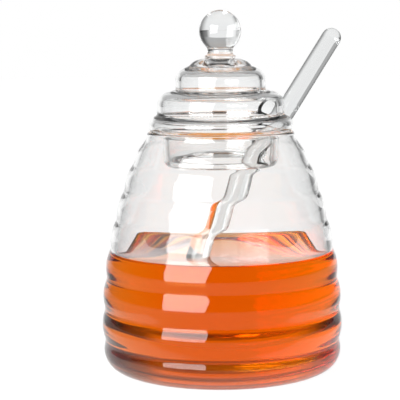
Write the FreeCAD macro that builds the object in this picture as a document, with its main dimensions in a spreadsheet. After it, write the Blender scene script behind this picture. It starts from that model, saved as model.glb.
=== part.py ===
import FreeCAD, Part
import math
import os
import Sketcher

# A glass honey jar in the shape of a beehive, with its tiered glass lid, its glass dipper and the
# honey in it.  Millimetres, +Z up, origin at the centre of the jar's flat base.  The dipper leans
# to +X and a little to the back, on the lip of the jar, and leaves through a notch in the lid.

SIZES = [
    # jar
    ("jar_height", 106.6, "base to the top of the lip"),
    ("hive_radius", 52.6, "grooves at the widest level"),
    ("waist_height", 21.0, "widest level above the base"),
    ("shoulder_radius", 38.9, "top groove"),
    ("neck_rise", 14.0, "top groove to the top of the lip"),
    ("heel_height", 13.5, "lowest groove above the base"),
    ("base_radius", 41.5, "flat of the base"),
    ("rib_shrink", 0.97, "each rib's height over the one below"),
    ("rib_round", 17.0, "section radius of the ribs outside"),
    ("inner_rib_round", 28.0, "section radius of the ribs inside"),
    ("groove_round", 1.6, "radius in the grooves outside"),
    ("jar_wall", 2.4, "glass between two grooves"),
    ("floor_thickness", 3.2, "glass under the honey"),
    ("rim_radius", 32.8, "outside of the lip"),
    ("lip_thickness", 2.0, "glass at the lip, rounded over"),
    ("lip_round", 0.98, "radius of the lip's inner edge"),
    ("collar_height", 3.7, "upright collar under the top of the lip"),
    ("collar_flare", 0.5, "collar's foot outside the lip"),
    # lid, measured from the level of its plug's lower end
    ("lid_wall", 2.4, "glass of the lid"),
    ("seat_gap", 0.05, "lid's ring above the lip"),
    ("seat_reach", 4.4, "centre of the ring's section inside the centre of the lip"),
    ("ring_round", 4.75, "section radius of the lowest tier"),
    ("plug_play", 5.0, "plug inside the mouth"),
    ("plug_drop", 18.5, "lowest tier's centre above the plug's end"),
    ("plug_curl", 4.5, "radius of the plug's turned-in end"),
    ("curl_reach", 3.4, "turned-in end's edge inside the plug"),
    ("curl_edge", 0.9, "height of that edge"),
    ("middle_setout", 0.9, "middle tier outside the ring's centre"),
    ("middle_rise", 9.1, "ring's centre to the centre of the middle tier's round"),
    ("middle_round", 6.4, "shoulder radius of the middle tier"),
    ("tier_step", 8.3, "top tier inside the middle tier"),
    ("top_rise", 10.9, "middle round's centre to the top round's centre"),
    ("top_round", 5.9, "shoulder radius of the top tier"),
    ("crown_rise", 3.6, "domed crown over the top tier"),
    ("crown_round", 8.0, "section radius of the crown"),
    ("ceiling_rise", 2.2, "domed ceiling over the top tier's hollow"),
    ("bead_height", 1.6, "bead between the crown and the neck"),
    ("bead_round", 0.9, "section radius of the bead"),
    ("bead_setout", 0.8, "foot of the bead outside the neck"),
    ("neck_radius", 5.6, "neck under the knob"),
    ("knob_radius", 9.3, "ball knob"),
    ("knob_rise", 15.65, "crown to the ball's centre"),
    # dipper
    ("rod_diameter", 9.0, "solid rod"),
    ("rod_length", 169.2, "between the centres of its two round ends"),
    ("lean_azimuth", 19.0, "degrees from +X to +Y"),
    ("foot_reach", 42.0, "foot's centre beyond the jar's axis"),
    ("foot_gap", 0.15, "foot above the floor, rod off the lip"),
    ("head_radius", 8.0, "largest ring of the dipper's head"),
    ("core_radius", 3.6, "head between its rings"),
    ("first_ring", 1.43, "lowest ring above the centre of the foot"),
    ("ring_thickness", 2.3, "one ring"),
    ("ring_pitch", 4.3, "ring to ring"),
    # notch in the lid
    ("notch_play", 4.5, "notch wider than the rod, on each side"),
    ("notch_shift", 3.9, "notch's middle beside the rod, to the back"),
    ("notch_head", 4.0, "top of the arch above the rod where it leaves the lid"),
    # honey
    ("honey_level", 53.5, "surface above the jar's base"),
    ("fill_gap", 0.1, "honey inside the glass"),
]

RIBS = 7            # full ribs and grooves above the heel
HEAD_RINGS = 6      # rings on the dipper's head
SWELL_BEFORE = 1.6  # the rings' radii follow a half wave that starts this many rings early
SWELL_AFTER = 0.6   # and ends this many rings late
TOLERANCE = 0.01

doc = FreeCAD.newDocument("honey_jar")


def make_sheet():
    """The sheet of driving sizes, one named cell each."""
    table = doc.addObject("Spreadsheet::Sheet", "sizes")
    for row, (name, value, note) in enumerate(SIZES, start=1):
        table.set("A%d" % row, name)
        table.set("B%d" % row, str(value))
        table.set("C%d" % row, note)
        table.setAlias("B%d" % row, name)
    doc.recompute()
    return table


sheet = make_sheet()


def named(text):
    """An expression with every size's name turned into a reference to its cell."""
    out = ""
    word = ""
    names = {name for name, _, _ in SIZES}
    for letter in text + " ":
        if letter.isalnum() or letter == "_":
            word += letter
            continue
        out += ("sizes." + word if word in names else word) + letter
        word = ""
    return "(" + out.strip() + ")"


def value(text):
    """The number that an expression stands for."""
    result = sheet.evalExpression(named(text))
    return float(getattr(result, "Value", result))


# ---- levels and radii that several pieces share

RIB_SUM = "((1 - pow(rib_shrink; %d)) / (1 - rib_shrink))" % (RIBS - 1)
RIB_HEIGHT = "((jar_height - neck_rise - heel_height) / %s)" % RIB_SUM
TAPER = "((hive_radius - shoulder_radius) / pow(jar_height - neck_rise - waist_height; 2))"


def groove_level(index):
    """Height of a groove, counted from the lowest one."""
    return "(heel_height + %s * (1 - pow(rib_shrink; %d)) / (1 - rib_shrink))" % (RIB_HEIGHT, index)


def groove_radius(index):
    """Outer radius in a groove: the hive narrows with the square of the height."""
    return "(hive_radius - %s * pow(%s - waist_height; 2))" % (TAPER, groove_level(index))


MOUTH = "(rim_radius - lip_thickness)"
LIP_CENTRE = "(rim_radius - lip_thickness / 2)"
LIP_LEVEL = "(jar_height - lip_thickness / 2)"
COLLAR_FOOT = "(jar_height - collar_height)"

RING_CENTRE = "(%s - seat_reach)" % LIP_CENTRE
SEAT = "(ring_round + lip_thickness / 2 + seat_gap)"
LID_BASE = "(%s + sqrt(pow(%s; 2) - pow(seat_reach; 2)) - plug_drop)" % (LIP_LEVEL, SEAT)
MIDDLE_SIDE = "(%s + middle_setout)" % RING_CENTRE
MIDDLE_LEVEL = "(plug_drop + middle_rise)"
TOP_SIDE = "(%s - tier_step)" % MIDDLE_SIDE
TOP_LEVEL = "(%s + top_rise)" % MIDDLE_LEVEL
CROWN = "(%s + top_round)" % TOP_LEVEL
PLUG = "(%s - plug_play)" % MOUTH

# The rod stands with its round foot on the jar's floor and touches the rounded lip.  LEAN is its
# angle from upright, in the vertical plane through the jar's axis.
ROD = "(rod_diameter / 2)"
FOOT_LEVEL = "(floor_thickness + %s + foot_gap)" % ROD
SPAN_OUT = "(%s + foot_reach)" % LIP_CENTRE
SPAN_UP = "(%s - %s)" % (LIP_LEVEL, FOOT_LEVEL)
OFF_LIP = "(%s + lip_thickness / 2 + foot_gap)" % ROD
LEAN = "(acos(%s / sqrt(pow(%s; 2) + pow(%s; 2))) - atan(%s / %s))" % (
    OFF_LIP, SPAN_OUT, SPAN_UP, SPAN_UP, SPAN_OUT)
ROD_EXIT = "(%s + (%s + %s / cos(%s) + foot_reach) / tan(%s))" % (
    FOOT_LEVEL, MIDDLE_SIDE, ROD, LEAN, LEAN)


# ---- sketching

def origin_part(body, role):
    """A plane or an axis of the body's own origin."""
    for feature in body.Origin.OriginFeatures:
        if feature.Role == role:
            return feature
    raise ValueError("no " + role)


def new_body(name):
    body = doc.addObject("PartDesign::Body", name)
    body.Label = name
    return body


def new_sketch(body, name, plane="XZ_Plane"):
    sketch = body.newObject("Sketcher::SketchObject", name)
    sketch.AttachmentSupport = [(origin_part(body, plane), "")]
    sketch.MapMode = "FlatFace"
    return sketch


def bind(sketch, kind, where, text, name):
    """One dimension of a sketch, held by an expression."""
    index = sketch.addConstraint(Sketcher.Constraint(kind, *where, value(text)))
    sketch.renameConstraint(index, name)
    sketch.setExpression("Constraints." + name, named(text))


def pin(sketch, geometry, end, across, up, name):
    """Holds one end of a line or arc at a place given by two expressions."""
    if across == "0":
        sketch.addConstraint(Sketcher.Constraint("PointOnObject", geometry, end, -2))
    elif value(across) > 0:
        bind(sketch, "DistanceX", (-1, 1, geometry, end), across, name + "_x")
    else:
        bind(sketch, "DistanceX", (geometry, end, -1, 1), "-1 * " + across, name + "_x")
    if up == "0":
        sketch.addConstraint(Sketcher.Constraint("PointOnObject", geometry, end, -1))
    else:
        bind(sketch, "DistanceY", (-1, 1, geometry, end), up, name + "_y")


def arc_between(start, end, radius, bulge):
    """The shorter arc from start to end; a bulge of 1 swells to the right of the way, -1 to the left."""
    chord = end - start
    half = chord.Length / 2
    depth = math.sqrt(max(radius * radius - half * half, 0.0))
    right = FreeCAD.Vector(chord.y, -chord.x, 0).normalize()
    centre = start + chord * 0.5 - right * (bulge * depth)
    middle = centre + right * (bulge * radius)
    return Part.Arc(start, middle, end)


def outline(sketch, corners):
    """Draws a closed outline.  Each corner is (across, up) and says how the outline goes on from
    it: nothing for a line, or (radius expression, bulge) for an arc."""
    points = [FreeCAD.Vector(value(corner[0]), value(corner[1]), 0) for corner in corners]
    starts = []
    ends = []
    for place, corner in enumerate(corners):
        after = points[(place + 1) % len(points)]
        if len(corner) == 2:
            index = sketch.addGeometry(Part.LineSegment(points[place], after), False)
            first, last = 1, 2
        else:
            index = sketch.addGeometry(
                arc_between(points[place], after, value(corner[2]), corner[3]), False)
            at_start = sketch.getPoint(index, 1).distanceToPoint(points[place]) < 1e-6
            first, last = (1, 2) if at_start else (2, 1)
        starts.append((index, first))
        ends.append((index, last))
    for place, corner in enumerate(corners):
        geometry, end = starts[place]
        sketch.addConstraint(Sketcher.Constraint("Coincident", *ends[place - 1], geometry, end))
        pin(sketch, geometry, end, corner[0], corner[1], "p%d" % place)
        if len(corner) == 4:
            bind(sketch, "Radius", (geometry,), corner[2], "r%d" % place)


def turn(body, sketch, name, cut=False):
    """A full revolution of a sketch about the body's upright axis."""
    kind = "PartDesign::Groove" if cut else "PartDesign::Revolution"
    feature = body.newObject(kind, name)
    feature.Profile = sketch
    feature.ReferenceAxis = (sketch, ["V_Axis"])
    feature.Angle = 360
    body.Tip = feature
    doc.recompute()
    return feature


# ---- jar

def heel_round(radius, level):
    """Radius of the heel's section: it leaves the flat of the base level and meets a groove."""
    return "((pow(%s - base_radius; 2) + pow(%s; 2)) / (2 * %s))" % (radius, level, level)


def jar_outside():
    corners = [("0", "0"), ("base_radius", "0", heel_round(groove_radius(0), "heel_height"), 1)]
    for rib in range(RIBS):
        corners.append((groove_radius(rib), groove_level(rib), "rib_round", 1))
    corners.append(("(rim_radius + collar_flare)", COLLAR_FOOT))
    corners.append(("rim_radius", LIP_LEVEL, "lip_thickness / 2", 1))
    corners.append((LIP_CENTRE, "jar_height"))
    corners.append(("0", "jar_height"))
    return corners


def cavity(gap, top):
    """Section of the space inside the glass, less a gap all round, up to a level over the lip."""
    floor = "(floor_thickness + %s)" % gap
    heel = "(%s - jar_wall - %s)" % (groove_radius(0), gap)
    rise = "(heel_height - %s)" % floor
    corners = [("0", floor), ("base_radius", floor, heel_round(heel, rise), 1)]
    for rib in range(RIBS):
        inside = "(%s - jar_wall - %s)" % (groove_radius(rib), gap)
        corners.append((inside, groove_level(rib), "inner_rib_round", 1))
    corners.append(("(%s + collar_flare - %s)" % (MOUTH, gap), COLLAR_FOOT))
    corners.append(("(%s - %s)" % (MOUTH, gap), LIP_LEVEL))
    corners.append(("(%s - %s)" % (MOUTH, gap), top))
    corners.append(("0", top))
    return corners


def make_jar():
    body = new_body("jar")
    outside = new_sketch(body, "jar_outside")
    outline(outside, jar_outside())
    turn(body, outside, "blown_body")
    inside = new_sketch(body, "jar_inside")
    outline(inside, cavity("0", "jar_height + lip_thickness"))
    hollow = turn(body, inside, "blown_hollow", cut=True)
    lip_round = rounded(body, hollow, "lip_edge", [(MOUTH, "jar_height")], "lip_round")
    grooves = [(groove_radius(index), groove_level(index)) for index in range(RIBS)]
    rounded(body, lip_round, "groove_rounds", grooves, "groove_round")
    return body


def rounded(body, before, name, rings, radius):
    """A fillet on the circular edges that have these radii at these levels."""
    places = [(value(across), value(up)) for across, up in rings]
    edges = []
    for number, edge in enumerate(before.Shape.Edges, start=1):
        if isinstance(edge.Curve, Part.Circle) and any(is_ring(edge.Curve, *place) for place in places):
            edges.append("Edge%d" % number)
    if len(edges) != len(rings):
        raise ValueError("edges missing for " + name)
    fillet = body.newObject("PartDesign::Fillet", name)
    fillet.Base = (before, edges)
    fillet.setExpression("Radius", named(radius))
    body.Tip = fillet
    doc.recompute()
    return fillet


def is_ring(circle, radius, level):
    return abs(circle.Center.z - level) < TOLERANCE and abs(circle.Radius - radius) < TOLERANCE


# ---- lid

def lid_outside():
    """From the plug's end up over the tiers to the knob."""
    corner_drop = "sqrt(pow(ring_round; 2) - pow(%s - %s; 2))" % (RING_CENTRE, PLUG)
    corner_rise = "sqrt(pow(ring_round; 2) - pow(middle_setout; 2))"
    knob_level = "(%s + knob_rise)" % CROWN
    bead_foot = "(%s + crown_rise)" % CROWN
    bead = "(neck_radius + bead_setout)"
    return [
        ("0", "0"),
        ("(%s - plug_curl)" % PLUG, "0", "plug_curl", 1),
        (PLUG, "plug_curl"),
        (PLUG, "(plug_drop - %s)" % corner_drop, "ring_round", 1),
        ("(%s + ring_round)" % RING_CENTRE, "plug_drop", "ring_round", 1),
        (MIDDLE_SIDE, "(plug_drop + %s)" % corner_rise),
        (MIDDLE_SIDE, MIDDLE_LEVEL, "middle_round", 1),
        ("(%s - middle_round)" % MIDDLE_SIDE, "(%s + middle_round)" % MIDDLE_LEVEL),
        (TOP_SIDE, "(%s + middle_round)" % MIDDLE_LEVEL),
        (TOP_SIDE, TOP_LEVEL, "top_round", 1),
        ("(%s - top_round)" % TOP_SIDE, CROWN, "crown_round", 1),
        (bead, bead_foot, "bead_round", 1),
        (bead, "(%s + bead_height)" % bead_foot),
        ("neck_radius", "(%s + bead_height)" % bead_foot),
        ("neck_radius", "(%s - sqrt(pow(knob_radius; 2) - pow(neck_radius; 2)))" % knob_level,
         "knob_radius", 1),
        ("knob_radius", knob_level, "knob_radius", 1),
        ("0", "(%s + knob_radius)" % knob_level),
    ]


def lid_inside():
    """The hollow of the lid: the tiers' own rounds, less the wall, open below."""
    ring = "(ring_round - lid_wall)"
    middle = "(middle_round - lid_wall)"
    top = "(top_round - lid_wall)"
    plug_inside = "(%s - lid_wall)" % PLUG
    ceiling_edge = "(%s - top_round)" % TOP_SIDE
    ceiling_round = "((pow(%s; 2) + pow(ceiling_rise; 2)) / (2 * ceiling_rise))" % ceiling_edge
    return [
        ("0", "0"),
        ("(%s - curl_reach)" % PLUG, "0"),
        ("(%s - curl_reach)" % PLUG, "curl_edge"),
        (plug_inside, "plug_curl"),
        (plug_inside, "(plug_drop - %s)" % ring),
        (RING_CENTRE, "(plug_drop - %s)" % ring, ring, 1),
        ("(%s + %s)" % (RING_CENTRE, ring), "plug_drop", ring, 1),
        (RING_CENTRE, "(plug_drop + %s)" % ring),
        ("(%s - lid_wall)" % MIDDLE_SIDE, "(plug_drop + %s)" % ring),
        ("(%s - lid_wall)" % MIDDLE_SIDE, MIDDLE_LEVEL, middle, 1),
        ("(%s - middle_round)" % MIDDLE_SIDE, "(%s + %s)" % (MIDDLE_LEVEL, middle)),
        ("(%s - lid_wall)" % TOP_SIDE, "(%s + %s)" % (MIDDLE_LEVEL, middle)),
        ("(%s - lid_wall)" % TOP_SIDE, TOP_LEVEL, top, 1),
        (ceiling_edge, "(%s + %s)" % (TOP_LEVEL, top), ceiling_round, 1),
        ("0", "(%s + %s + ceiling_rise)" % (TOP_LEVEL, top)),
    ]


def notch_corners():
    """An arch, open at the bottom, seen along the way that the rod leans."""
    half = "(%s + notch_play)" % ROD
    left = "(notch_shift - %s)" % half
    right = "(notch_shift + %s)" % half
    spring = "(%s - %s + notch_head - %s)" % (ROD_EXIT, LID_BASE, half)
    crest = "(%s + %s)" % (spring, half)
    return [
        (left, "0"),
        (right, "0"),
        (right, spring, half, 1),
        ("notch_shift", crest, half, 1),
        (left, spring),
    ]


def make_lid():
    body = new_body("lid")
    outside = new_sketch(body, "lid_outside")
    outline(outside, lid_outside())
    turn(body, outside, "lid_body")
    inside = new_sketch(body, "lid_inside")
    outline(inside, lid_inside())
    hollow = turn(body, inside, "lid_hollow", cut=True)
    arch = new_sketch(body, "notch_arch", "YZ_Plane")
    outline(arch, notch_corners())
    notch = body.newObject("PartDesign::Pocket", "dipper_notch")
    notch.Profile = arch
    notch.Type = "ThroughAll"
    notch.Reversed = True
    body.Tip = notch
    doc.recompute()
    if notch.Shape.Volume > hollow.Shape.Volume - 1 or cuts_far_side(notch.Shape):
        raise ValueError("the notch doesn't cut the side that the rod leans to")
    body.setExpression("Placement.Base.z", named(LID_BASE))
    body.setExpression("Placement.Rotation.Angle", named("lean_azimuth"))
    doc.recompute()
    return body


def cuts_far_side(shape):
    """True if the middle of the plug's wall opposite the rod is gone."""
    wall = FreeCAD.Vector(-value(PLUG) + value("lid_wall") / 2, 0, value("plug_drop") / 2)
    return not shape.isInside(wall, TOLERANCE, True)


# ---- dipper

def dipper_section():
    """The rod on the axis, its round ends, and the rings of its head."""
    corners = [("0", "0", ROD, 1)]
    first = "(%s + first_ring)" % ROD
    corners.append((ROD, ROD))
    for ring in range(HEAD_RINGS):
        swell = math.sin(math.pi * (ring + SWELL_BEFORE) / (HEAD_RINGS + SWELL_BEFORE + SWELL_AFTER))
        low = "(%s + ring_pitch * %d)" % (first, ring)
        high = "(%s + ring_thickness)" % low
        side = "(%s + (head_radius - %s) * %.4f - ring_thickness / 2)" % (ROD, ROD, swell)
        middle = "(%s + ring_thickness / 2)" % low
        inner_low = ROD if ring == 0 else "core_radius"
        inner_high = ROD if ring == HEAD_RINGS - 1 else "core_radius"
        corners.append((inner_low, low))
        corners.append((side, low, "ring_thickness / 2", 1))
        corners.append(("(%s + ring_thickness / 2)" % side, middle, "ring_thickness / 2", 1))
        corners.append((side, high))
        corners.append((inner_high, high))
    corners.append((ROD, "(%s + rod_length)" % ROD, ROD, 1))
    corners.append(("0", "(%s + rod_length + %s)" % (ROD, ROD)))
    return corners


def make_dipper():
    body = new_body("dipper")
    section = new_sketch(body, "dipper_section")
    outline(section, dipper_section())
    turn(body, section, "dipper_rod")
    out = "(foot_reach + %s * sin(%s))" % (ROD, LEAN)
    body.setExpression("Placement.Base.x", named("-1 * %s * cos(lean_azimuth * 1deg)" % out))
    body.setExpression("Placement.Base.y", named("-1 * %s * sin(lean_azimuth * 1deg)" % out))
    body.setExpression("Placement.Base.z", named("%s - %s * cos(%s)" % (FOOT_LEVEL, ROD, LEAN)))
    body.setExpression("Placement.Rotation.Axis.x", named("-1 * sin(lean_azimuth * 1deg)"))
    body.setExpression("Placement.Rotation.Axis.y", named("cos(lean_azimuth * 1deg)"))
    body.setExpression("Placement.Rotation.Axis.z", "0")
    body.setExpression("Placement.Rotation.Angle", named(LEAN))
    doc.recompute()
    return body


# ---- honey

def make_honey(dipper):
    """The jar's hollow up to the level of the honey, cut round the dipper."""
    space = new_body("honey_space")
    section = new_sketch(space, "honey_section")
    outline(section, cavity("fill_gap", "jar_height"))
    turn(space, section, "honey_body")
    level = doc.addObject("Part::Cylinder", "honey_depth")
    level.setExpression("Radius", named("hive_radius * 2"))
    level.setExpression("Height", named("honey_level"))
    filled = doc.addObject("Part::Common", "honey_filled")
    filled.Base = space
    filled.Tool = level
    honey = doc.addObject("Part::Cut", "honey")
    honey.Label = "honey"
    honey.Base = filled
    honey.Tool = dipper
    doc.recompute()
    return honey


# ---- build, check, write

jar = make_jar()
lid = make_lid()
dipper = make_dipper()
honey = make_honey(dipper)
doc.recompute()

for item in doc.Objects:
    if "Invalid" in item.State or "Error" in item.State:
        raise ValueError("failed: " + item.Name)

os.makedirs("parts", exist_ok=True)
for piece in (jar, lid, dipper, honey):
    shape = piece.Shape
    if shape.isNull() or not shape.isValid() or len(shape.Solids) != 1:
        raise ValueError("bad shape: " + piece.Label)
    shape.exportStep(os.path.join("parts", piece.Label + ".step"))
    box = shape.BoundBox
    print("%-7s %8.2f ml  x %7.2f %7.2f  y %7.2f %7.2f  z %7.2f %7.2f" % (
        piece.Label, shape.Volume / 1000, box.XMin, box.XMax, box.YMin, box.YMax, box.ZMin, box.ZMax))
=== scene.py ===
import math

import bmesh
import bpy
from mathutils import Euler, Matrix, Vector


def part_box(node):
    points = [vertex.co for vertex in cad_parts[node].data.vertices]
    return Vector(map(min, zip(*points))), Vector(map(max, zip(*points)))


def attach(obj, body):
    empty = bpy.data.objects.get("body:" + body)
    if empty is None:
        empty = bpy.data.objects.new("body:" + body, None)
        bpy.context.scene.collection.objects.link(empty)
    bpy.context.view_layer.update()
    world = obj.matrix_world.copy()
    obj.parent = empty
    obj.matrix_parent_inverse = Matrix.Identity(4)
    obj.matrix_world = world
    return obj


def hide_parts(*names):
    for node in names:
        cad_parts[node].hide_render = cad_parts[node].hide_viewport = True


# A filled honey jar of clear blown glass in the shape of a beehive, with its tiered lid and its
# glass dipper, on a white sheet on a grey table.  Metres, +Z up, the camera looks along +Y.

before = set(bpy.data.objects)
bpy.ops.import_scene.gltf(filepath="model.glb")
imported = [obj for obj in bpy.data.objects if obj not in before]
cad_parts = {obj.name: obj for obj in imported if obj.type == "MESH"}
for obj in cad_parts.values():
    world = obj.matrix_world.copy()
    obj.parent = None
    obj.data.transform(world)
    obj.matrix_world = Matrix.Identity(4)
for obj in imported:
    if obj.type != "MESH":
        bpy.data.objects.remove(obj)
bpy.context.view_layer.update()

MM = 0.001
NOTHING = 1e-9
TOUCHING = 1e-6                 # corners closer than this become one
ARC_STEPS = 12
_, JAR_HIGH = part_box("jar")
_, LID_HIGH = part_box("lid")
_, HONEY_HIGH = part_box("honey")

# jar
HEIGHT = JAR_HIGH.z
RIB_SWELL = 1.41 * MM           # the widest rib stands out this far from the grooves' curve
HIVE = JAR_HIGH.x - RIB_SWELL
WIDEST_LEVEL = 21.0 * MM
SHOULDER = 38.9 * MM
SHOULDER_LEVEL = HEIGHT - 14.0 * MM
HEEL_LEVEL = 13.5 * MM          # the lowest groove
HEEL_ROUND = 9.2 * MM
FLOOR_RADIUS = 41.5 * MM        # of the flat inside the jar
FLOOR_GLASS = 3.2 * MM
RIBS = 7
RIB_SHRINK = 0.97               # each rib's height to the one below it
RIB_ROUND = 17.0 * MM
INNER_RIB_ROUND = 28.0 * MM
WALL = 2.4 * MM
JAR_MELT = (0.7 * MM, 8)        # step and passes of `molten`, which flows grooves into ribs
RIM = 32.8 * MM
LIP = 2.0 * MM
COLLAR = 3.7 * MM
COLLAR_FLARE = 0.5 * MM
TURNS = 128                     # facets round the jar, the lid and the honey
# lid, from the plug's end up
LID_WALL = 2.4 * MM
RING = RIM - LIP / 2 - 4.4 * MM
RING_ROUND = 4.75 * MM
RING_LEVEL = 18.5 * MM
PLUG = RIM - LIP - 5.0 * MM
CURL = 4.5 * MM
CURL_REACH = CURL * 0.75        # from the plug's side in to the turned-in end's edge
CURL_EDGE = CURL * 0.2
MIDDLE = RING + 0.9 * MM
MIDDLE_ROUND = 6.4 * MM
MIDDLE_LEVEL = RING_LEVEL + 9.1 * MM
TOP = MIDDLE - 8.3 * MM
TOP_ROUND = 5.9 * MM
TOP_LEVEL = MIDDLE_LEVEL + 10.9 * MM
CROWN = TOP_LEVEL + TOP_ROUND
CROWN_RISE = 3.6 * MM
CROWN_ROUND = 8.0 * MM
CEILING_RISE = 2.2 * MM
NECK = 5.6 * MM
BEAD = NECK + 0.8 * MM
BEAD_HEIGHT = 1.6 * MM
BEAD_ROUND = 0.9 * MM
KNOB = 9.3 * MM
KNOB_LEVEL = CROWN + 15.65 * MM
LID_BASE = LID_HIGH.z - KNOB_LEVEL - KNOB
LID_MELT = (0.55 * MM, 3)
# dipper
ROD = 4.5 * MM
ROD_LENGTH = 169.2 * MM
AZIMUTH = math.radians(19.0)
FOOT_REACH = 42.0 * MM
FOOT_GAP = 0.15 * MM
HEAD = 8.0 * MM
CORE = 3.6 * MM
RING_THICKNESS = 2.3 * MM
RING_PITCH = 4.3 * MM
HEAD_GAP = RING_PITCH / 3       # from the foot's round to the first ring
HEAD_RINGS = 6
# the rings swell and thin over a half wave that begins before the first and ends after the last
HEAD_START = 1.6                # rings from the wave's beginning to the first ring
HEAD_SPAN = 2.2                 # the wave is this many rings longer than the head
DIPPER_MELT = (0.45 * MM, 2)
DIPPER_TURNS = 64
# notch in the lid for the dipper
NOTCH_PLAY = 4.5 * MM
NOTCH_SHIFT = 3.9 * MM
NOTCH_HEAD = 4.0 * MM
NOTCH_BELOW = 5.0 * MM          # the tool reaches this far below the lid
NOTCH_REACH = 50.0 * MM
ARCH_STEPS = 24
# honey
HONEY_LEVEL = HONEY_HIGH.z
OVERLAP = 0.2 * MM              # of the honey into the glass, and of the dry rod into the honey
SURFACE_DROP = 0.9 * MM         # the surface lies this much lower than its edge on the glass
SIDE_END = 1.2 * MM             # the side's curve ends this far below the top
EDGE_DROP = 0.02 * MM           # and the edge on the glass this far
CREEP_STEP = 0.6 * MM
CREEP_STEPS = 8
CREEP_REACH = 1.3 * MM
HONEY_INDEX = 1.49

FOOT_LEVEL = FLOOR_GLASS + ROD + FOOT_GAP
SPAN_OUT = RIM - LIP / 2 + FOOT_REACH
SPAN_UP = HEIGHT - LIP / 2 - FOOT_LEVEL
LEAN = (math.acos((ROD + LIP / 2 + FOOT_GAP) / math.hypot(SPAN_OUT, SPAN_UP))
        - math.atan2(SPAN_UP, SPAN_OUT))


# ---- outlines

def arc(start, end, radius, bulge):
    """Points of the shorter arc, without its last; a bulge of 1 swells to the right of the way."""
    start, end = Vector(start), Vector(end)
    chord = end - start
    half = chord.length / 2
    depth = math.sqrt(max(radius * radius - half * half, 0.0))
    right = Vector((chord.y, -chord.x)).normalized()
    centre = start + chord / 2 - right * (bulge * depth)
    first = math.atan2(start.y - centre.y, start.x - centre.x)
    sweep = 2 * math.asin(min(half / radius, 1.0)) * bulge
    points = []
    for step in range(ARC_STEPS):
        angle = first + sweep * step / ARC_STEPS
        points.append((centre.x + radius * math.cos(angle), centre.y + radius * math.sin(angle)))
    return points


def walk(corners):
    """An outline from corners (across, up) or (across, up, radius, bulge) for an arc to the next."""
    points = []
    for place, corner in enumerate(corners):
        if len(corner) == 2:
            points.append(corner)
        else:
            after = corners[(place + 1) % len(corners)]
            points += arc(corner[:2], after[:2], corner[2], corner[3])
    return points


def molten(points, melt):
    """The outline at even steps, with its corners flowed round as in worked glass.  An outline
    that starts and ends on the axis stays open there; any other is closed."""
    step, passes = melt
    on_axis = abs(points[0][0]) < NOTHING
    way = [Vector(p) for p in points]
    if not on_axis:
        way.append(way[0].copy())
    even = [way[0]]
    for before, after in zip(way, way[1:]):
        count = max(1, round((after - before).length / step))
        even += [before.lerp(after, (n + 1) / count) for n in range(count)]
    if not on_axis:
        even.pop()
    for _ in range(passes):
        count = len(even)
        fresh = []
        for place in range(count):
            if on_axis and place in (0, count - 1):
                fresh.append(even[place])
                continue
            fresh.append((even[place - 1] + even[place] * 2 + even[(place + 1) % count]) / 4)
        even = fresh
    return even


def spun(name, points, steps):
    """A closed, smooth-shaded piece turned from an outline."""
    mesh = bmesh.new()
    verts = [mesh.verts.new((p.x, 0, p.y)) for p in points]
    edges = [mesh.edges.new(pair) for pair in zip(verts, verts[1:])]
    if points[0].x > NOTHING:
        edges.append(mesh.edges.new((verts[-1], verts[0])))
    bmesh.ops.spin(mesh, geom=verts + edges, cent=(0, 0, 0), axis=(0, 0, 1),
                   angle=2 * math.pi, steps=steps, use_merge=True)
    bmesh.ops.remove_doubles(mesh, verts=mesh.verts, dist=TOUCHING)
    bmesh.ops.recalc_face_normals(mesh, faces=mesh.faces)
    return finished(name, mesh)


def finished(name, mesh):
    for face in mesh.faces:
        face.smooth = True
    data = bpy.data.meshes.new(name)
    mesh.to_mesh(data)
    mesh.free()
    piece = bpy.data.objects.new(name, data)
    bpy.context.scene.collection.objects.link(piece)
    return piece


def placed(piece, matrix):
    """Moves a piece's mesh to its place and leaves its object at the origin."""
    piece.data.transform(matrix)
    return piece


def cut(piece, tool):
    """Takes the tool's space out of the piece, and the tool out of the scene."""
    change = piece.modifiers.new("cut", "BOOLEAN")
    change.object = tool
    change.operation = "DIFFERENCE"
    change.solver = "EXACT"
    bpy.context.view_layer.update()
    seen = piece.evaluated_get(bpy.context.evaluated_depsgraph_get())
    data = bpy.data.meshes.new_from_object(seen)
    piece.modifiers.clear()
    piece.data = data
    bpy.data.objects.remove(tool)


# ---- the jar

def groove(index):
    """Radius and level of a groove between two ribs, counted from the lowest one."""
    first = (SHOULDER_LEVEL - HEEL_LEVEL) * (1 - RIB_SHRINK) / (1 - RIB_SHRINK ** (RIBS - 1))
    level = HEEL_LEVEL + first * (1 - RIB_SHRINK ** index) / (1 - RIB_SHRINK)
    taper = (HIVE - SHOULDER) / (SHOULDER_LEVEL - WIDEST_LEVEL) ** 2
    return HIVE - taper * (level - WIDEST_LEVEL) ** 2, level


def heel(radius, level):
    """Radius of the arc that leaves the floor inside the jar and meets this radius and level."""
    return ((radius - FLOOR_RADIUS) ** 2 + level ** 2) / (2 * level)


def inner_way(grow, top):
    """The inside of the glass from the floor's centre up, moved into the glass by `grow`."""
    floor = FLOOR_GLASS - grow
    radius, level = groove(0)
    corners = [(0, floor), (FLOOR_RADIUS, floor, heel(radius - WALL + grow, level - floor), 1)]
    for rib in range(RIBS):
        radius, level = groove(rib)
        corners.append((radius - WALL + grow, level, INNER_RIB_ROUND, 1))
    corners.append((RIM - LIP + COLLAR_FLARE + grow, HEIGHT - COLLAR))
    corners.append((RIM - LIP + grow, top))
    return corners


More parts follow.
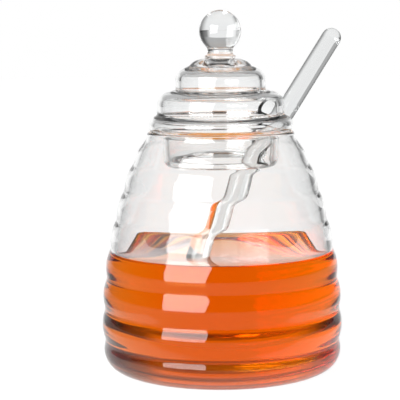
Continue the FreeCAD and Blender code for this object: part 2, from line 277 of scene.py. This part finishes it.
def make_jar():
    """One shell: the ribbed outside up to the collar and lip, and back down the inside."""
    radius, level = groove(0)
    foot = radius - math.sqrt(HEEL_ROUND ** 2 - (level - HEEL_ROUND) ** 2)
    outer = [(0, 0), (foot, 0, HEEL_ROUND, 1)]
    for rib in range(RIBS):
        outer.append(groove(rib) + (RIB_ROUND, 1))
    outer.append((RIM + COLLAR_FLARE, HEIGHT - COLLAR))
    outer.append((RIM, HEIGHT - LIP / 2, LIP / 2, 1))
    outer.append((RIM - LIP / 2, HEIGHT, LIP / 2, 1))
    outside = walk(outer + [(RIM - LIP, HEIGHT - LIP / 2)])
    inside = walk(inner_way(0, HEIGHT - LIP / 2))
    outline = outside[:-1] + [(RIM - LIP, HEIGHT - LIP / 2)] + inside[:-1][::-1]
    return spun("jar", molten(outline, JAR_MELT), TURNS)


def wetted(face):
    """Whether a face of the jar is on its inside, with honey against it."""
    middle = Vector((0, 0, HONEY_LEVEL / 2))
    return face.center.z < HONEY_LEVEL and face.normal.dot(face.center - middle) < 0


# ---- the lid

def make_lid():
    """Plug, ring, middle and top tier, crown, bead and ball knob, with the notch cut out."""
    corner_drop = math.sqrt(RING_ROUND ** 2 - (RING - PLUG) ** 2)
    corner_rise = math.sqrt(RING_ROUND ** 2 - (MIDDLE - RING) ** 2)
    knob_foot = math.sqrt(KNOB ** 2 - NECK ** 2)
    middle_top = MIDDLE_LEVEL + MIDDLE_ROUND
    outer = [
        (PLUG - CURL_REACH, 0), (PLUG - CURL, 0, CURL, 1), (PLUG, CURL),
        (PLUG, RING_LEVEL - corner_drop, RING_ROUND, 1),
        (RING + RING_ROUND, RING_LEVEL, RING_ROUND, 1),
        (MIDDLE, RING_LEVEL + corner_rise), (MIDDLE, MIDDLE_LEVEL, MIDDLE_ROUND, 1),
        (MIDDLE - MIDDLE_ROUND, middle_top), (TOP, middle_top),
        (TOP, TOP_LEVEL, TOP_ROUND, 1), (TOP - TOP_ROUND, CROWN, CROWN_ROUND, 1),
        (BEAD, CROWN + CROWN_RISE, BEAD_ROUND, 1), (BEAD, CROWN + CROWN_RISE + BEAD_HEIGHT),
        (NECK, CROWN + CROWN_RISE + BEAD_HEIGHT),
        (NECK, KNOB_LEVEL - knob_foot, KNOB, 1), (KNOB, KNOB_LEVEL, KNOB, 1),
        (0, KNOB_LEVEL + KNOB),
    ]
    ring, middle, top = RING_ROUND - LID_WALL, MIDDLE_ROUND - LID_WALL, TOP_ROUND - LID_WALL
    ceiling = TOP_LEVEL + top + CEILING_RISE
    ceiling_round = ((TOP - TOP_ROUND) ** 2 + CEILING_RISE ** 2) / (2 * CEILING_RISE)
    inner = [
        (PLUG - CURL_REACH, CURL_EDGE), (PLUG - LID_WALL, CURL), (PLUG - LID_WALL, RING_LEVEL - ring),
        (RING, RING_LEVEL - ring, ring, 1), (RING + ring, RING_LEVEL, ring, 1),
        (RING, RING_LEVEL + ring),
        (MIDDLE - LID_WALL, RING_LEVEL + ring), (MIDDLE - LID_WALL, MIDDLE_LEVEL, middle, 1),
        (MIDDLE - MIDDLE_ROUND, MIDDLE_LEVEL + middle), (TOP - LID_WALL, MIDDLE_LEVEL + middle),
        (TOP - LID_WALL, TOP_LEVEL, top, 1), (TOP - TOP_ROUND, TOP_LEVEL + top, ceiling_round, 1),
        (0, ceiling),
    ]
    outside = walk(outer)
    inside = walk(inner)
    shell = molten([(0, ceiling)] + inside[:-1][::-1] + outside[1:], LID_MELT)
    lid = spun("lid", shell, TURNS)
    cut(lid, notch_tool())
    return placed(lid, Matrix.Translation((0, 0, LID_BASE)) @ Matrix.Rotation(AZIMUTH, 4, "Z"))


def notch_tool():
    """An arch-topped bar along +X that takes the dipper's way out of the lid."""
    half = ROD + NOTCH_PLAY
    rod_exit = FOOT_LEVEL + (MIDDLE + ROD / math.cos(LEAN) + FOOT_REACH) / math.tan(LEAN)
    spring = rod_exit - LID_BASE + NOTCH_HEAD - half
    mesh = bmesh.new()
    ring = [(NOTCH_SHIFT - half, -NOTCH_BELOW), (NOTCH_SHIFT + half, -NOTCH_BELOW)]
    for step in range(ARCH_STEPS + 1):
        angle = math.pi * step / ARCH_STEPS
        ring.append((NOTCH_SHIFT + half * math.cos(angle), spring + half * math.sin(angle)))
    face = mesh.faces.new([mesh.verts.new((0, y, z)) for y, z in ring])
    moved = bmesh.ops.extrude_face_region(mesh, geom=[face])
    far = [v for v in moved["geom"] if isinstance(v, bmesh.types.BMVert)]
    bmesh.ops.translate(mesh, verts=far, vec=(NOTCH_REACH, 0, 0))
    bmesh.ops.recalc_face_normals(mesh, faces=mesh.faces)
    return finished("notch", mesh)


# ---- the dipper

def dipper_outline():
    """The rod from its foot up along its own axis, with the ringed head near the foot."""
    corners = [(0, 0, ROD, 1), (ROD, ROD)]
    half = RING_THICKNESS / 2
    for ring in range(HEAD_RINGS):
        swell = math.sin(math.pi * (ring + HEAD_START) / (HEAD_RINGS + HEAD_SPAN))
        low = ROD + HEAD_GAP + RING_PITCH * ring
        side = ROD + (HEAD - ROD) * swell - half
        middle = low + half
        core_low = ROD if ring == 0 else CORE
        core_high = ROD if ring == HEAD_RINGS - 1 else CORE
        corners += [(core_low, low), (side, low, half, 1), (side + half, middle, half, 1),
                    (side, low + RING_THICKNESS), (core_high, low + RING_THICKNESS)]
    corners += [(ROD, ROD + ROD_LENGTH, ROD, 1), (0, 2 * ROD + ROD_LENGTH)]
    return molten(walk(corners), DIPPER_MELT)


def dipper_place():
    """Stands the foot on the jar's floor and leans the rod on the lip."""
    out = FOOT_REACH + ROD * math.sin(LEAN)
    foot = Vector((-out * math.cos(AZIMUTH), -out * math.sin(AZIMUTH),
                   FOOT_LEVEL - ROD * math.cos(LEAN)))
    axis = Vector((-math.sin(AZIMUTH), math.cos(AZIMUTH), 0))
    return Matrix.Translation(foot) @ Matrix.Rotation(LEAN, 4, axis)


def dipper_part(name, above):
    """The dipper above the honey, or what stands in it, parted just under the honey's surface."""
    piece = placed(spun(name, dipper_outline(), DIPPER_TURNS), dipper_place())
    mesh = bmesh.new()
    mesh.from_mesh(piece.data)
    level = Vector((0, 0, HONEY_LEVEL - SURFACE_DROP - OVERLAP))
    cut_through = bmesh.ops.bisect_plane(mesh, geom=mesh.verts[:] + mesh.edges[:] + mesh.faces[:],
                                         plane_co=level, plane_no=(0, 0, 1),
                                         clear_inner=above, clear_outer=not above)
    rim = [e for e in cut_through["geom_cut"] if isinstance(e, bmesh.types.BMEdge)]
    bmesh.ops.holes_fill(mesh, edges=rim)
    bmesh.ops.recalc_face_normals(mesh, faces=mesh.faces)
    mesh.to_mesh(piece.data)
    mesh.free()
    return piece


# ---- the honey

def make_honey():
    """Reaches a little into the glass, closes round the dipper, and creeps up the wall at its edge."""
    way = molten(walk(inner_way(OVERLAP, HEIGHT)), JAR_MELT)
    way = [p for p in way if p.y < HONEY_LEVEL - SIDE_END]
    edge = way[-1].x
    creep = [(edge, HONEY_LEVEL - EDGE_DROP)]
    for step in range(1, CREEP_STEPS + 1):
        reach = step * CREEP_STEP
        creep.append((edge - reach, HONEY_LEVEL - SURFACE_DROP * (1 - math.exp(-reach / CREEP_REACH))))
    outline = way + [Vector(p) for p in creep] + [Vector((0, HONEY_LEVEL - SURFACE_DROP))]
    return spun("honey", outline, TURNS)


# ---- materials

GLASS_INDEX = 1.47
CLEAR = (0.985, 0.99, 0.99)
PAINTED_SHADE_GREY = (0.86, 0.87, 0.87)      # painted shade: a grey tint that darkens the solid knob and rod
HONEY_GLOSS = (0.3, 0.2, 0.05)
HONEY_COLOUR = (0.979, 0.81, 0.0)
HONEY_DENSITY = 120.0


def new_material(name):
    material = bpy.data.materials.new(name)
    material.use_nodes = True
    nodes = material.node_tree.nodes
    return material, nodes, material.node_tree.links, nodes["Principled BSDF"]


def glass_material(name, tint, index=GLASS_INDEX, gloss=1.0):
    """Clear glass; a gloss of 0 takes the gleam from its face."""
    material, _, _, shader = new_material(name)
    shader.inputs["Base Color"].default_value = (*tint, 1)
    shader.inputs["Roughness"].default_value = 0.0
    shader.inputs["IOR"].default_value = index
    shader.inputs["Specular Tint"].default_value = (gloss, gloss, gloss, 1)
    shader.inputs["Transmission Weight"].default_value = 1.0
    return material


def honey_material():
    material, nodes, links, shader = new_material("honey")
    shader.inputs["Base Color"].default_value = (1, 1, 1, 1)
    shader.inputs["Roughness"].default_value = 0.0
    shader.inputs["IOR"].default_value = HONEY_INDEX
    shader.inputs["Specular Tint"].default_value = (*HONEY_GLOSS, 1)
    shader.inputs["Transmission Weight"].default_value = 1.0
    absorb = nodes.new("ShaderNodeVolumeAbsorption")
    absorb.inputs["Color"].default_value = (*HONEY_COLOUR, 1)
    absorb.inputs["Density"].default_value = HONEY_DENSITY
    links.new(absorb.outputs["Volume"], nodes["Material Output"].inputs["Volume"])
    return material


def dress(piece, slot, *nodes, look=None):
    """Gives a piece its material and puts it in the place of its nodes."""
    piece.data.materials.clear()
    piece.data.materials.append(materials[look or slot])
    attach(piece, "root")
    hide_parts(*nodes)


def recoat(piece, look, chosen):
    """Gives the chosen faces of a piece another glass."""
    piece.data.materials.append(materials[look])
    for face in piece.data.polygons:
        if chosen(face):
            face.material_index = 1


# ---- table, light, camera

# brightness of walls, table and ceiling by degrees to the right of straight behind the jar
WALL_LEVELS = [(-180, 0.01), (-115, 0.02), (-70, 0.04), (-42, 0.12), (-34, 0.5), (-24, 1.0), (20, 1.0),
               (28, 0.3), (50, 0.05), (80, 0.02), (180, 0.01)]
TABLE_LEVELS = [(-180, 0.35), (-110, 0.35), (-50, 0.3), (-28, 1.0), (30, 1.0), (54, 0.3), (110, 0.35),
                (180, 0.35)]
CEILING_LEVELS = [(-180, 0.02), (-110, 0.03), (-60, 0.06), (-30, 0.5), (26, 0.5), (45, 0.08), (80, 0.03),
                  (180, 0.02)]
WALL_TOP = 12.0                 # degrees above the horizon, where the ceiling's levels begin
SHEET_SIDE = 0.13               # beside the jar the white sheet on the table ends this far out
SHEET_FRONT = 0.0625            # and this far in front of the jar's middle
SHEET_FADE = 0.01
TABLE_SIZE = 4.0
TABLE_DROP = 0.3 * MM
TABLE_PAINT = (0.2, 0.2, 0.2)
TABLE_GLOW = (0.98, 0.98, 0.98)
SOFT_BOX = (0.47, 0.48)         # width and height
SOFT_BOX_POWER = 5.4
SOFT_BOX_AWAY = 0.6
SOFT_BOX_TURN = math.radians(36)        # round the jar, from the camera to its left
SOFT_BOX_RISE = math.radians(18)
JAR_MIDDLE = Vector((0, 0, 0.06))
LENS = 129.5
CAMERA_PLACE = (-9.5 * MM, -640 * MM, 151 * MM)
CAMERA_PITCH = math.radians(6.7)
CAMERA_ROLL = math.radians(-0.5)


def steps_of(nodes, links, value, stops):
    """A colour ramp of grey levels at places from 0 to 1."""
    ramp = nodes.new("ShaderNodeValToRGB")
    elements = ramp.color_ramp.elements
    while len(elements) < len(stops):
        elements.new(0.5)
    for stop, (place, level) in zip(elements, stops):
        stop.position = place
        stop.color = (level, level, level, 1)
    links.new(value, ramp.inputs["Fac"])
    return ramp.outputs["Color"]


def joined(nodes, links, operation, *values):
    """The result of one Math node, whose values are numbers or sockets."""
    node = nodes.new("ShaderNodeMath")
    node.operation = operation
    for socket, value in zip(node.inputs, values):
        if isinstance(value, float):
            socket.default_value = value
        else:
            links.new(value, socket)
    return node.outputs["Value"]


def turned(nodes, links, way):
    """The bearing of a direction as a share of a full turn, 0.5 straight behind, and its height."""
    split = nodes.new("ShaderNodeSeparateXYZ")
    links.new(way, split.inputs["Vector"])
    turn = joined(nodes, links, "ARCTAN2", split.outputs["X"], split.outputs["Y"])
    return joined(nodes, links, "MULTIPLY_ADD", turn, 1 / (2 * math.pi), 0.5), split.outputs["Z"]


def by_bearing(nodes, links, bearing, levels):
    return steps_of(nodes, links, bearing, [(0.5 + turn / 360, level) for turn, level in levels])


def blended(nodes, links, share, first, second):
    mix = nodes.new("ShaderNodeMix")
    mix.data_type = "FLOAT"
    links.new(share, mix.inputs["Factor"])
    links.new(first, mix.inputs["A"])
    links.new(second, mix.inputs["B"])
    return mix.outputs["Result"]


def faded(nodes, links, reach, edge):
    """One up to the sheet's edge, falling to nothing just beyond it."""
    fade = nodes.new("ShaderNodeMapRange")
    fade.inputs["From Min"].default_value = edge
    fade.inputs["From Max"].default_value = edge + SHEET_FADE
    fade.inputs["To Min"].default_value = 1.0
    fade.inputs["To Max"].default_value = 0.0
    links.new(reach, fade.inputs["Value"])
    return fade.outputs["Result"]


def make_floor():
    """A grey table with a white sheet under and behind the jar."""
    mesh = bmesh.new()
    bmesh.ops.create_grid(mesh, x_segments=1, y_segments=1, size=TABLE_SIZE)
    bmesh.ops.translate(mesh, verts=mesh.verts, vec=(0, 0, -TABLE_DROP))
    floor = finished("table", mesh)
    material, nodes, links, shader = new_material("table")
    shader.inputs["Roughness"].default_value = 0.9
    shader.inputs["Specular IOR Level"].default_value = 0.0
    shader.inputs["Emission Color"].default_value = (*TABLE_GLOW, 1)
    shader.inputs["Base Color"].default_value = (*TABLE_PAINT, 1)
    place = nodes.new("ShaderNodeNewGeometry")
    bearing, _ = turned(nodes, links, place.outputs["Position"])
    split = nodes.new("ShaderNodeSeparateXYZ")
    links.new(place.outputs["Position"], split.inputs["Vector"])
    aside = faded(nodes, links, joined(nodes, links, "ABSOLUTE", split.outputs["X"]), SHEET_SIDE)
    ahead = faded(nodes, links, joined(nodes, links, "MULTIPLY", split.outputs["Y"], -1.0), SHEET_FRONT)
    sheet = joined(nodes, links, "MULTIPLY", aside, ahead)
    level = joined(nodes, links, "MAXIMUM", by_bearing(nodes, links, bearing, TABLE_LEVELS), sheet)
    links.new(level, shader.inputs["Emission Strength"])
    floor.data.materials.append(material)


def make_world():
    """White behind the jar, darker walls at its sides and front, and a ceiling over them."""
    world = bpy.data.worlds.new("studio")
    bpy.context.scene.world = world
    world.use_nodes = True
    nodes, links = world.node_tree.nodes, world.node_tree.links
    nodes.clear()
    out = nodes.new("ShaderNodeOutputWorld")
    place = nodes.new("ShaderNodeTexCoord")
    background = nodes.new("ShaderNodeBackground")
    background.inputs["Color"].default_value = (1, 1, 1, 1)
    bearing, height = turned(nodes, links, place.outputs["Generated"])
    rise = joined(nodes, links, "MULTIPLY", joined(nodes, links, "ARCSINE", height), 180 / math.pi)
    wall = by_bearing(nodes, links, bearing, WALL_LEVELS)
    ceiling = by_bearing(nodes, links, bearing, CEILING_LEVELS)
    over = joined(nodes, links, "GREATER_THAN", rise, WALL_TOP)
    room = blended(nodes, links, over, wall, ceiling)
    links.new(room, background.inputs["Strength"])
    links.new(background.outputs["Background"], out.inputs["Surface"])


def make_lamp():
    """A soft box to the left of the camera, which the camera itself doesn't see."""
    light = bpy.data.lights.new("soft_box", "AREA")
    light.shape = "RECTANGLE"
    light.size, light.size_y = SOFT_BOX
    light.energy = SOFT_BOX_POWER
    lamp = bpy.data.objects.new("soft_box", light)
    out = math.cos(SOFT_BOX_RISE)
    way = Vector((-math.sin(SOFT_BOX_TURN) * out, -math.cos(SOFT_BOX_TURN) * out,
                  math.sin(SOFT_BOX_RISE)))
    lamp.location = JAR_MIDDLE + way * SOFT_BOX_AWAY
    lamp.rotation_euler = way.to_track_quat("Z", "Y").to_euler()
    lamp.visible_camera = False
    bpy.context.scene.collection.objects.link(lamp)


def make_camera():
    lens = bpy.data.cameras.new("camera")
    lens.lens = LENS
    lens.sensor_width = 36.0
    camera = bpy.data.objects.new("camera", lens)
    camera.matrix_world = (Matrix.Translation(CAMERA_PLACE)
                           @ Euler((math.pi / 2 - CAMERA_PITCH, 0, 0)).to_matrix().to_4x4()
                           @ Matrix.Rotation(CAMERA_ROLL, 4, "Z"))
    bpy.context.scene.collection.objects.link(camera)
    bpy.context.scene.camera = camera


# wet_glass bends no light, so that the dipper doesn't show inside the honey
materials = {
    "jar_glass": glass_material("jar_glass", CLEAR),
    "wetted_wall": glass_material("wetted_wall", (1, 1, 1), gloss=0.0),
    "lid_glass": glass_material("lid_glass", CLEAR),
    # the knob and the dipper are tinted grey as painted shade, darker than the clear lid and jar
    "knob_glass_painted_shade": glass_material("knob_glass_painted_shade", PAINTED_SHADE_GREY),
    "dipper_glass": glass_material("dipper_glass", PAINTED_SHADE_GREY),
    "wet_glass": glass_material("wet_glass", (1, 1, 1), index=1.0),
    "honey": honey_material(),
}

jar = make_jar()
dress(jar, "jar_glass", "jar")
recoat(jar, "wetted_wall", wetted)

lid = make_lid()
dress(lid, "lid_glass", "lid")
# the knob is a copy of the lid's glass with painted shade
recoat(lid, "knob_glass_painted_shade", lambda face: face.center.z > LID_BASE + KNOB_LEVEL - KNOB)
dress(dipper_part("dipper", True), "dipper_glass", "dipper")
dress(dipper_part("dipper_head", False), "dipper_glass", "dipper", look="wet_glass")
dress(make_honey(), "honey", "honey")

make_floor()
make_world()
make_lamp()
make_camera()

scene = bpy.context.scene
scene.view_settings.view_transform = "Standard"
scene.cycles.max_bounces = 40
scene.cycles.transmission_bounces = 40
scene.cycles.glossy_bounces = 8
